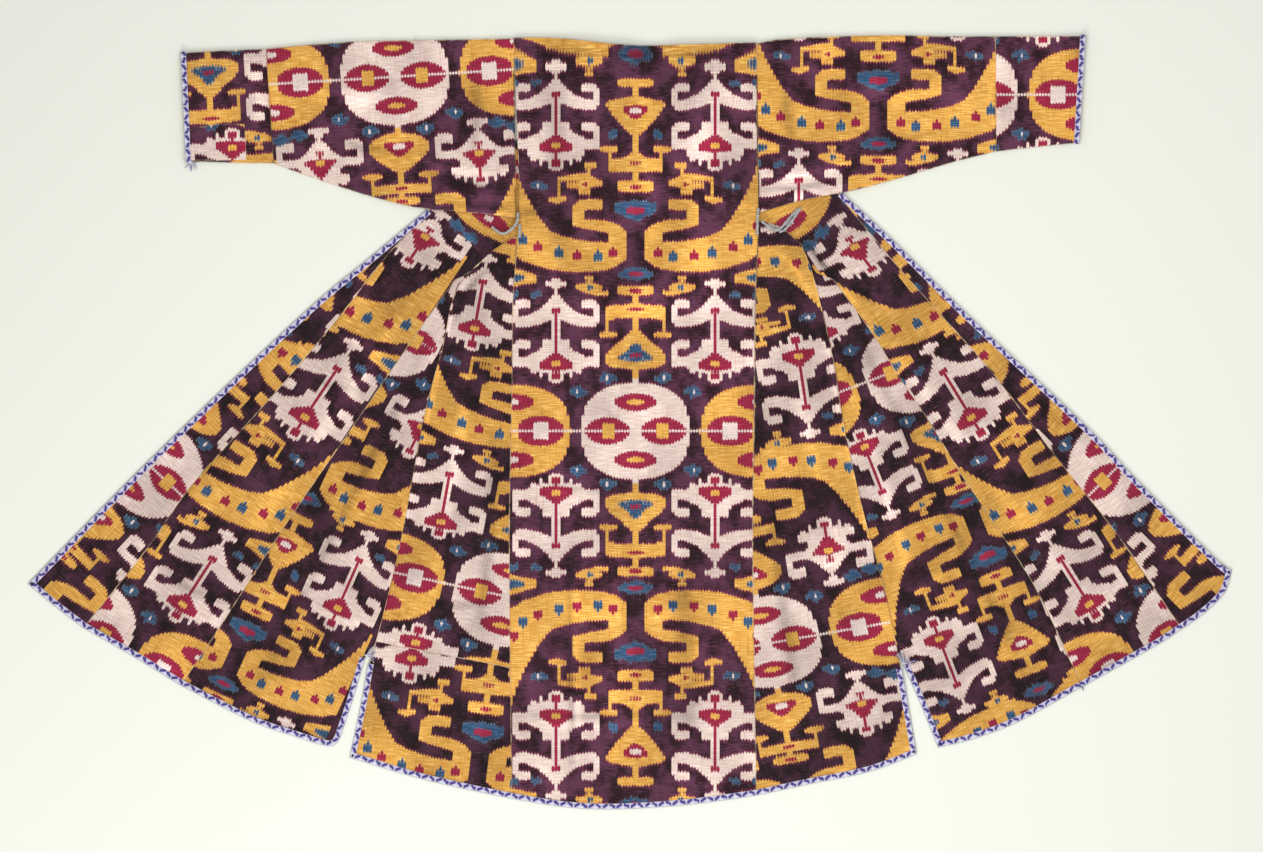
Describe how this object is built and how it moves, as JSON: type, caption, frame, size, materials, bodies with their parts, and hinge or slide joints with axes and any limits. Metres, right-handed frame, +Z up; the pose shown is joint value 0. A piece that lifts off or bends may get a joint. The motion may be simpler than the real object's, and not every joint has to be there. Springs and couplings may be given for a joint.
{
  "type": "munisak robe",
  "caption": "Central Asian robe of ikat velvet laid out flat with its back up, the fronts swung out to the sides and the sleeves spread, edged with woven braid.",
  "frame": {"origin": "middle of the laid-out robe's footprint, on the surface it lies on", "axes": "+X from the left cuff to the right cuff as seen from above, +Y from the hem to the neck, +Z up off the surface"},
  "size_m": [1.924, 1.2366, 0.0136],
  "materials": {
    "ikat_velvet": "silk velvet pile with a soft sheen",
    "woven_braid": "matt woven braid",
    "overcast_thread": "matt twisted thread",
    "tuft_thread": "soft loose thread"
  },
  "bodies": {
    "root": {"back_panel": "ikat_velvet", "shoulder_turn_left": "ikat_velvet", "shoulder_turn_right": "ikat_velvet", "back_gore_left": "ikat_velvet", "back_gore_left_hem": "ikat_velvet", "back_gore_right": "ikat_velvet", "front_edge_gore_left": "ikat_velvet", "front_edge_gore_right": "ikat_velvet", "front_panel_left": "ikat_velvet", "front_panel_right": "ikat_velvet", "front_side_gore_left": "ikat_velvet", "front_side_gore_right": "ikat_velvet", "sleeve_left": "ikat_velvet", "sleeve_right": "ikat_velvet", "cuff_left": "ikat_velvet", "cuff_right": "ikat_velvet", "braid_front_left": "woven_braid", "braid_front_right": "woven_braid", "braid_back": "woven_braid", "braid_cuff_left": "woven_braid", "braid_cuff_right": "woven_braid", "vent_cord_left": "overcast_thread", "vent_edge_left": "overcast_thread", "vent_cord_right": "overcast_thread", "vent_edge_right": "overcast_thread", "tuft_cuff_left": "tuft_thread", "tuft_slit_left": "tuft_thread", "tuft_slit_right": "tuft_thread"}
  },
  "joints": []
}
